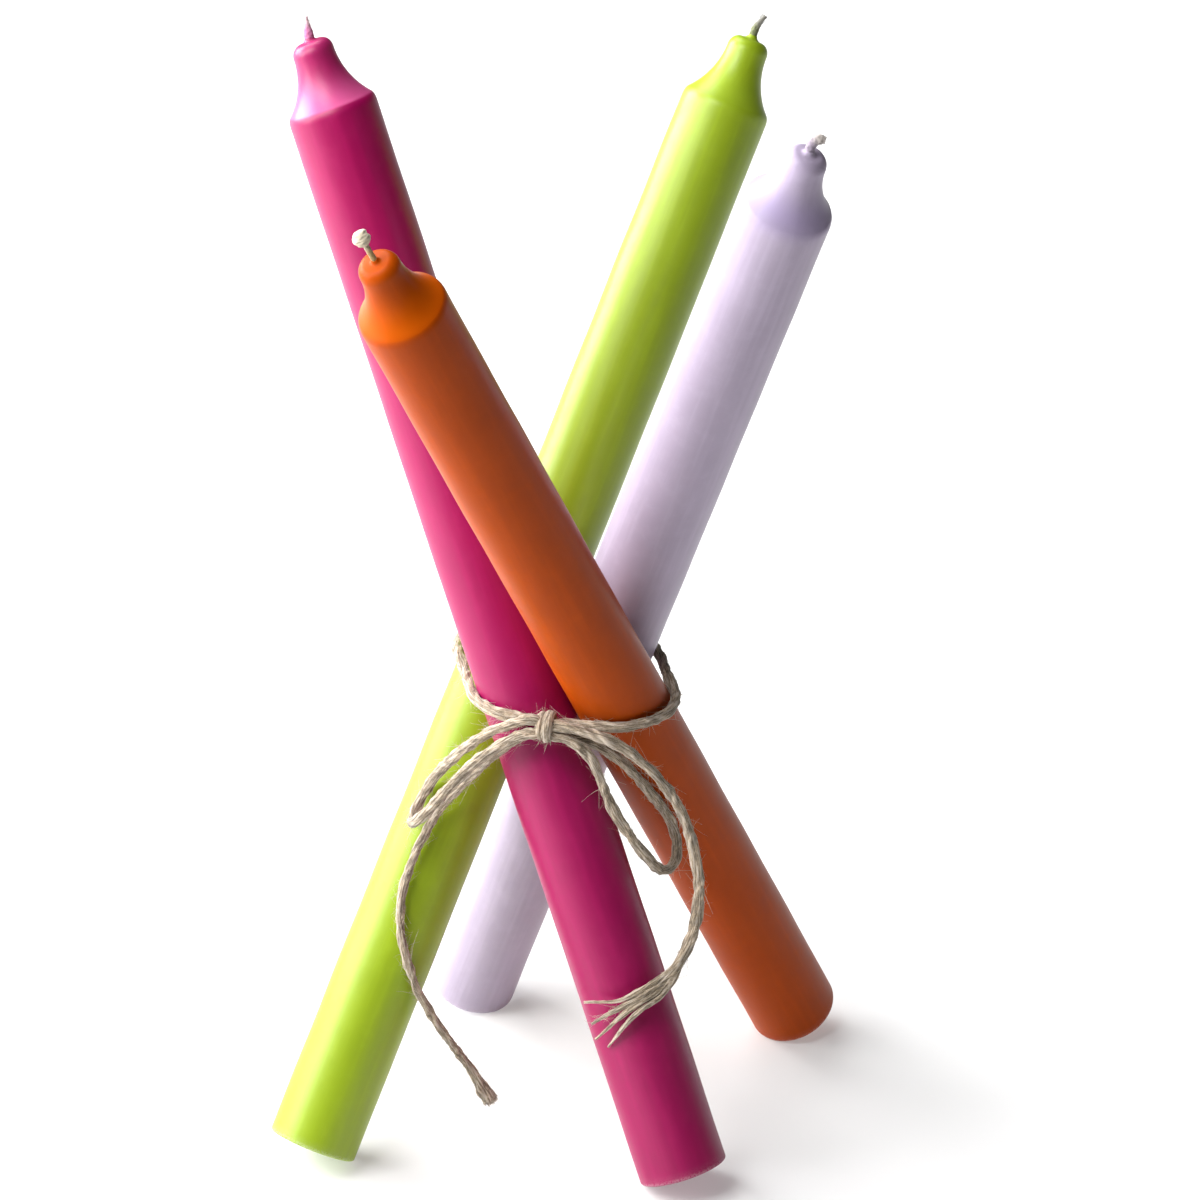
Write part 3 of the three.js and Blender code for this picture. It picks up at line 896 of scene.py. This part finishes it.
class CANDLES_OT_stage(bpy.types.Operator):
    """Makes the camera, the pale floor and the soft studio light."""

    bl_idname = "candles.stage"
    bl_label = "Stage"

    def execute(self, context):
        light = context.scene.tied_candles.light
        camera = bpy.data.objects.new("camera", bpy.data.cameras.new("camera"))
        camera.data.lens, camera.data.sensor_width = CAMERA_LENS, SENSOR_WIDTH
        camera.data.clip_start, camera.data.clip_end = 0.1, 20
        elevation = np.radians(CAMERA_ELEVATION)
        back = Vector((0, -np.cos(elevation), np.sin(elevation)))
        camera.location = CAMERA_TARGET + back * CAMERA_DISTANCE
        camera.rotation_mode = "QUATERNION"
        camera.rotation_quaternion = (-back).to_track_quat("-Z", "Y")
        context.scene.collection.objects.link(camera)
        context.scene.camera = camera
        half = FLOOR_HALF_WIDTH
        mesh = bpy.data.meshes.new("floor")
        corners = [(-half, -half, 0), (half, -half, 0), (half, half, 0), (-half, half, 0)]
        mesh.from_pydata(corners, [], [(0, 1, 2, 3)])
        floor = bpy.data.objects.new("floor", mesh)
        context.scene.collection.objects.link(floor)
        finish = Finish("pale floor")
        mesh.materials.append(finish.done({
            "Base Color": (0.6, 0.6, 0.6), "Roughness": 0.9, "Specular IOR Level": 0.0,
            "Emission Color": (1, 1, 1), "Emission Strength": light.floor,
        }))
        for name, (place, setting) in SOFTBOXES.items():
            softbox(name, place, getattr(light, setting))
        world = bpy.data.worlds.new("studio")
        room = Nodes(world)
        way = room.node("ShaderNodeTexCoord").outputs["Generated"]
        leftward = room.node("ShaderNodeSeparateXYZ", None, {"Vector": way}).outputs["X"]
        leftness = room.between(leftward, 0.5, -0.9)
        brightness = leftness * (light.room - light.dark_side) + light.dark_side
        background = room.node("ShaderNodeBackground", None, {"Strength": brightness})
        room.node("ShaderNodeOutputWorld", None, {"Surface": background.outputs[0]})
        context.scene.world = world
        context.scene.view_settings.view_transform = "Standard"
        return {"FINISHED"}


class CANDLES_OT_free_twine(bpy.types.Operator):
    """Makes the bow's two loops and two tails, with their fluff and frayed ends."""

    bl_idname = "candles.free_twine"
    bl_label = "Bow loops and tails"

    def execute(self, context):
        sizes = context.scene.tied_candles.twine
        base = tuple(context.scene.tied_candles.colours.jute)
        knot = KnotPlace()
        jute = jute_finish("jute twine", base)
        fluff = jute_finish("loose jute", base, loose=True)
        for number, (name, points) in enumerate(BOW_ROUTES.items()):
            rng = np.random.default_rng(SEEDS["free twine"] + number)
            route = MM * np.array(points)
            line = spline(route, TWINE_STEP)
            path = knot.placed(line)
            end = float(distances(line)[-1])
            along = np.linspace(0, end, len(line))
            radius = self.thickness(name, along, end, sizes)
            twine, hairs = Surface(), Surface()
            tucked = self.tucked(knot, line, name.endswith("loop"))
            spread = np.interp(np.linspace(0, 1, len(tucked)), along / end, radius)
            add_twine(twine, rng, tucked, spread, sizes)
            add_fluff(hairs, rng, path, radius, sizes)
            if name == "left_twine_tail":
                self.add_brush(hairs, rng, path)
            piece = twine.piece(name, "twine", "jute_twine", jute, name)
            pieces = [hairs.piece(f"{name}_fibres", "twine", "jute_twine", fluff)]
            if name == "right_twine_tail":
                pieces.append(self.frayed_yarns(rng, knot, line, sizes, jute))
            knot.placed(route[0])
        return {"FINISHED"}

    @staticmethod
    def tucked(knot, line, both_ends):
        """The line with its ends drawn in under the knot's wrap."""
        def drawn_in(point):
            inner = KNOT_CENTRE + (point - KNOT_CENTRE) * (0.15, 0.45, 0.45)
            return point + (inner - point) * np.linspace(1, 0, 9, endpoint=False)[:, None]
        parts = [drawn_in(line[0]), line]
        if both_ends:
            parts.append(drawn_in(line[-1])[::-1])
        return knot.placed(spaced(np.concatenate(parts), TWINE_STEP))

    @staticmethod
    def thickness(name, along, end, sizes):
        """The radius along a stretch: the usual one, times 1 + share past each slope.

        The left tail is drawn thin past the knot and spreads at its cut end. The right one loosens
        before its yarns part, is one yarn after that, and ends in a point.
        """
        slopes = {
            "left_twine_tail": [(-0.16, 0.01, 0.03), (0.85, end - 0.012, end - 0.001)],
            "right_twine_tail": [
                (0.22, end - 0.05, end - FRAYED_LENGTH), (-0.54, end - FRAYED_LENGTH, end - 0.02),
                (-0.6, end - 0.012, end),
            ],
        }
        radius = np.full(len(along), sizes.diameter / 2)
        for share, start, stop in slopes.get(name, ()):
            radius *= 1 + share * ramp(along, start, stop)
        return radius

    @staticmethod
    def add_brush(hairs, rng, path):
        """The cut end of the left tail: a blunt brush of short fibres past its last rings.

        Each is straight, root + L t u, with u along the twine and a little outwards, and L about 3 mm.
        """
        count, rows, sides, reach = 900, 4, 3, 0.0019
        tangents, normal, side = normals_along(path)
        turn = rng.uniform(0, TURN, count)[:, None]
        share = np.sqrt(rng.uniform(0, 1, count))[:, None]
        spoke = np.cos(turn) * normal[-1] + np.sin(turn) * side[-1]
        root = path[-9] + spoke * share * reach * 0.85
        u = unit(tangents[-1] + 0.12 * spoke * share + 0.05 * rng.normal(size=(count, 3)))
        length = (0.0031 - 0.0005 * share + 0.0003 * rng.normal(size=(count, 1)))[..., None]
        t = np.linspace(0, 1, rows)[None, :, None]
        line = root[:, None] + length * t * u[:, None]
        across = unit(np.cross(u, rng.normal(size=(count, 3))))
        spoke = spokes(sides, across, np.cross(u, across))
        hairs.add_tubes(line[:, :, None] + (0.00009 * (1 - 0.4 * t))[..., None] * spoke[:, None])

    @staticmethod
    def frayed_yarns(rng, knot, line, sizes, jute):
        """The other yarns of the right tail's end.

        They leave the twine's line over its frayed length and lie beside the middle yarn as a flat
        strand, one yarn's width apart, until each swings over to its own tip: place * width * beside *
        (1 - w) + tip * w, where w is the smooth share from where it leaves to the end.
        """
        surface = Surface()
        part = line[-int(FRAYED_LENGTH / TWINE_STEP):]
        t = np.linspace(0, 1, len(part))[:, None]
        for number, yarn in enumerate(FRAYED_YARNS):
            swing = ramp(t, yarn["leaves"], 1.15)
            beside = yarn["place"] * YARN_WIDTH * BESIDE * ramp(t, -0.1, 0.42)
            sway = 0.00025 * np.sin(TURN * (1.7 * t + 0.31 * number)) * np.array((0.3, 0.2, 0.8)) * t
            tip = MM * np.array(yarn["tip"]) / float(ramp(1.0, yarn["leaves"], 1.15))
            route = part + beside * (1 - swing) + tip * swing + sway
            path = knot.placed(spaced(route, YARN_STEP))
            radius = 0.00074 * (1 - 0.62 * ramp(np.linspace(0, 1, len(path)), 0.5, 1.0))
            add_twine(surface, rng, path, radius, sizes, sides=20, filling=0.95)
        return surface.piece("right_tail_yarns", "twine", "jute_twine", jute)


class CANDLES_OT_band(bpy.types.Operator):
    """Makes the taut turn of twine round the four candles."""

    bl_idname = "candles.band"
    bl_label = "Band"

    def execute(self, context):
        sizes = context.scene.tied_candles.twine
        base = tuple(context.scene.tied_candles.colours.jute)
        knot, rng = KnotPlace(), np.random.default_rng(SEEDS["band"])
        loop = taut_loop(sizes.diameter / 2 + BAND_CLEARANCE)
        tuck = knot.placed([(0.0006, -0.0004, -0.0002), (-0.0006, -0.0004, -0.0002)])
        path = spaced(np.concatenate([tuck[:1], loop, tuck[1:]]), TWINE_STEP)
        twine, hairs = Surface(), Surface()
        add_twine(twine, rng, path, sizes.diameter / 2, sizes)
        add_fluff(hairs, rng, path, sizes.diameter / 2, sizes)
        jute = jute_finish("jute band", base)
        fluff = jute_finish("loose jute of the band", base, loose=True)
        twine.piece("twine_band_turn", "twine", "jute_twine", jute, "twine_band")
        hairs.piece("twine_band_fibres", "twine", "jute_twine", fluff)
        return {"FINISHED"}


class CANDLES_OT_knot(bpy.types.Operator):
    """Makes the knot: two turns of twine wrapped over the gathered strands.

    The wrap is an ellipse round the strands, level across them in front, that steps over to its
    second place behind, slightly further out, and whose two ends are tucked in.
    """

    bl_idname = "candles.knot"
    bl_label = "Knot"

    def execute(self, context):
        sizes = context.scene.tied_candles.twine
        base = tuple(context.scene.tied_candles.colours.jute)
        knot, rng = KnotPlace(), np.random.default_rng(SEEDS["knot"])
        t = np.linspace(0, 1, 500)
        turns, first = 2.3, -0.7
        turn = TURN * (turns * t + first)
        second = ramp(t, 0.4, 0.64)
        tucked_in = ramp(t, 0.08, 0) + ramp(t, 0.92, 1)
        reach = 0.0027 + 0.00018 * second - 0.0012 * tucked_in
        route = np.stack([
            -0.00125 + 0.0019 * second,
            KNOT_CENTRE[1] - reach * np.cos(turn),
            KNOT_CENTRE[2] + 0.92 * reach * np.sin(turn),
        ], axis=1)
        path = knot.placed(spaced(route, TWINE_STEP))
        radius = 0.00098 + 0.0003 * np.interp(np.linspace(0, 1, len(path)), t, second)
        twine, hairs = Surface(), Surface()
        add_twine(twine, rng, path, radius, sizes, filling=0.9)
        add_fluff(hairs, rng, path, radius, sizes, density=3.2, lift=0.8, reach=0.62)
        jute = jute_finish("jute knot", base)
        fluff = jute_finish("loose jute of the knot", base, loose=True)
        twine.piece("twine_knot_wrap", "twine", "jute_twine", jute, "twine_knot")
        hairs.piece("twine_knot_fibres", "twine", "jute_twine", fluff)
        return {"FINISHED"}


def arc(centre, half_axes, start, end, count):
    """Points of an ellipse's arc from one angle to another, in degrees."""
    angle = np.radians(np.linspace(start, end, count))
    return np.stack([
        centre[0] + half_axes[0] * np.cos(angle), centre[1] + half_axes[1] * np.sin(angle)
    ], axis=1)


def stretch(start, end, count):
    """Points of a straight stretch without its last one."""
    return np.linspace(start, end, count, endpoint=False)


class CANDLES_OT_wax(bpy.types.Operator):
    """Makes the four wax bodies."""

    bl_idname = "candles.wax"
    bl_label = "Wax bodies"

    def execute(self, context):
        settings = context.scene.tied_candles
        for number, (colour, place) in enumerate(places().items()):
            surface, rng = Surface(), np.random.default_rng(SEEDS["wax"] + number)
            self.turned(surface, rng, place, colour, settings.candle)
            base = tuple(getattr(settings.colours, colour))
            surface.piece(
                f"{colour}_wax_body", f"{colour}_candle", f"{colour}_wax",
                wax_finish(colour, base, TIP_TINTS_AND_PAINTED_LIGHT[colour], SHINE[colour]), f"{colour}_candle_wax"
            )
        return {"FINISHED"}

    @staticmethod
    def outline(place, sizes, girth):
        """The candle's outline as radius and height, from the foot's bore round the outside and back.

        It has the foot, the bevel, the body, the rounded shoulder up to the crease, the hollow flare,
        the round nub, the wax drawn up the wick, and the bore. The flare is an arc that is upright at
        the nub, and the shoulder's quarter ellipse ends in the direction in which the flare starts.
        """
        top, radius = place.length, place.radius
        wick = girth * sizes.wick_diameter / 2
        bore = BORE_SHARE * wick
        bevel, inset = sizes.foot_bevel, radius - sizes.crease_inset
        shoulder, crease = top - sizes.shoulder_drop, top - sizes.crease_drop
        nub_side = top - sizes.nub_rounding
        rise, width = nub_side - crease, inset - sizes.nub_radius
        flare = (width ** 2 + rise ** 2) / (2 * width)
        turn = np.arcsin(rise / flare)
        drop, climb = radius - inset, crease - shoulder
        bend = np.arccos(drop / (np.tan(turn) * climb - drop))
        half_axes = drop / (1 - np.cos(bend)), climb / np.sin(bend)
        return np.concatenate([
            stretch((bore, 0), (radius - bevel, 0), 14),
            arc((radius - bevel, bevel), (bevel, bevel), -90, 0, 7),
            stretch((radius, 2 * bevel), (radius, shoulder), 180),
            arc((radius - half_axes[0], shoulder), half_axes, 0, np.degrees(bend), 14)[:-1],
            arc((sizes.nub_radius + flare, nub_side), (flare, flare), 180 + np.degrees(turn), 180, 40),
            arc((sizes.nub_flat_radius, nub_side),
                (sizes.nub_radius - sizes.nub_flat_radius, sizes.nub_rounding), 6, 78, 14),
            arc((2.45 * wick, top + 1.3 * wick), (1.4 * wick, 1.3 * wick), 262, 190, 14),
            stretch((bore, top + 1.2 * wick), (bore, 0.0004), 40),
        ])

    def turned(self, surface, rng, place, colour, sizes):
        """The outline turned round the axis: (r cos a, r sin a, z), made uneven by gentle waves."""
        sides, softness = 112, CREASE_SOFTNESS[colour] * sizes.crease_width
        radius, height = self.outline(place, sizes, WICK_GIRTHS[colour]).T[:, :, None]
        angle = TURN * np.arange(sides)[None] / sides
        share = np.clip(radius / place.radius, 0, 1) ** 2
        wave = waves(rng, angle, height, (0, 1, 2, 3), (0.031, 0.087, 0.21))
        nub = ramp(height, place.length - 0.012, place.length - 0.002)
        r = radius + sizes.waviness * wave * share * (1 + 2 * nub)
        slope = 0.00022 * np.cos(angle - rng.uniform(0, TURN)) * np.clip(radius / 0.004, 0, 1)
        z = height + slope * ramp(height, place.length - 0.03, place.length - 0.012)
        local = np.stack(np.broadcast_arrays(r * np.cos(angle), r * np.sin(angle), z), axis=-1)
        crease = place.length - sizes.crease_drop
        rim = np.exp(-((height - 0.0004) / 0.0006) ** 2) * (radius > 0.8 * place.radius)
        # The tip's tint, partly painted light, is full just above the crease and fades to a fifth over
        # the next centimetre towards the nub
        tip_tint_and_painted_light = ramp(height, crease - 0.6 * softness, crease + 0.4 * softness)
        tip_tint_and_painted_light = tip_tint_and_painted_light * (1 - 0.8 * ramp(height, crease + 0.001, crease + 0.01))
        surface.add_ring_body(
            place.placed(local),
            wax_place=local,
            tip_share=np.broadcast_to(tip_tint_and_painted_light, r.shape),
            scuff=np.broadcast_to(rim, r.shape),
        )


class CANDLES_OT_wicks(bpy.types.Operator):
    """Makes the four braided wicks."""

    bl_idname = "candles.wicks"
    bl_label = "Wicks"

    def execute(self, context):
        settings = context.scene.tied_candles
        cotton = tuple(settings.colours.cotton)
        for number, (colour, place) in enumerate(places().items()):
            surface, hairs = Surface(), Surface()
            rng = np.random.default_rng(SEEDS["wicks"] + number)
            end = self.braided(surface, rng, place, colour, settings.candle)
            tint, soaked = WICK_TINTS[colour]
            finish = cotton_finish(colour, tuple(a * b for a, b in zip(cotton, tint)), soaked)
            body = f"{colour}_candle"
            surface.piece(f"{colour}_wick_braid", body, "wick_cotton", finish, f"{colour}_wick")
            if colour in FUZZY_WICKS:
                radius = 0.85 * settings.candle.wick_diameter / 2
                add_loose_fibres(hairs, rng, end, radius, 160, 0.0008, 0.00003, 0.4)
                hairs.piece(f"{colour}_wick_fuzz", body, "wick_cotton", finish)
        return {"FINISHED"}

    @staticmethod
    def braided(surface, rng, place, colour, sizes):
        """A wick from the foot to its bent end, whose points above the nub are given back.

        The radius is R (0.86 + 0.14 max(|cos(2a + k s)|, |cos(2a - k s)|)), two sets of strands that
        wind against each other, thinned or swollen towards the tip.
        """
        top, radius, sides = place.length, sizes.wick_diameter / 2, 24
        bend = MM * np.array([(0, 0, -1.2), (0, 0, 0), *WICK_BENDS[colour]]) + (0, 0, top)
        end = spline(bend, WICK_STEP)
        straight = stretch((0, 0, sizes.wick_recess), end[0], 60)
        path = np.concatenate([straight, end])
        along = distances(path)
        left = (along[-1] - along)[:, None]
        angle = TURN * np.arange(sides)[None] / sides
        turn = TURN * along[:, None] / BRAID_LAY
        strand = np.maximum(np.abs(np.cos(2 * angle + turn)), np.abs(np.cos(2 * angle - turn)))
        lumps = 1.35 + 0.12 * waves(rng, angle, along[:, None], (1, 2, 3), (0.0023, 0.0041))
        knob = lumps * np.sqrt(np.clip(1 - (left / KNOB_HALF_LENGTH - 1) ** 2, 0, 1))
        shape = {
            "pink": 0.35 + 0.9 * ramp(left, 0.0002, 0.0045) - 0.25 * ramp(left, 0.005, 0.0062),
            "orange": WICK_GIRTHS[colour] + knob - 0.5 * ramp(left, 0.0002, 0),
            "green": 0.5 + 0.5 * ramp(left, 0.0005, 0.0045),
            "lilac": 0.9 + 0.35 * ramp(left, 0, 0.0012) - 0.25 * ramp(left, 0.0046, 0.006),
        }[colour]
        fuzz = streaks(rng, len(path), sides, 3)
        reach = radius * shape * (0.86 + 0.14 * strand) + 0.00003 * fuzz * (left < 0.006)
        rings = place.placed(tube(path, reach))
        above_nub = along[:, None] - (top - sizes.wick_recess)
        soak = np.broadcast_to(1 - ramp(above_nub, 0.0026, 0.0052), strand.shape)
        # The points between the strands are marked, and the finish darkens them as painted shade
        surface.add_tubes(rings[None], depth=(1 - ramp(strand, 0.6, 1.0))[None], soak=soak[None])
        return place.placed(end[len(end) // 3:])


STEPS = (
    CANDLES_OT_stage, CANDLES_OT_free_twine, CANDLES_OT_band, CANDLES_OT_knot, CANDLES_OT_wax,
    CANDLES_OT_wicks,
)


class CANDLES_PT_tied(bpy.types.Panel):
    """Sidebar panel with the steps and their sizes."""

    bl_idname = "CANDLES_PT_tied"
    bl_label = "Tied dinner candles"
    bl_space_type = "VIEW_3D"
    bl_region_type = "UI"
    bl_category = "Candles"

    def draw(self, context):
        settings = context.scene.tied_candles
        for step in STEPS:
            self.layout.operator(step.bl_idname)
        for group in (settings.candle, settings.twine, settings.colours, settings.light):
            column = self.layout.column()
            for key in group.__annotations__:
                column.prop(group, key)


CLASSES = (CandleSizes, TwineSizes, FinishColours, StageLight, TiedCandles, *STEPS, CANDLES_PT_tied)


def register():
    for made in CLASSES:
        bpy.utils.register_class(made)
    bpy.types.Scene.tied_candles = PointerProperty(type=TiedCandles)


def unregister():
    del bpy.types.Scene.tied_candles
    for made in reversed(CLASSES):
        bpy.utils.unregister_class(made)


def main():
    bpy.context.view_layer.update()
    register()
    for step in STEPS:
        group, name = step.bl_idname.split(".")
        getattr(getattr(bpy.ops, group), name)()


if __name__ == "__main__":
    main()
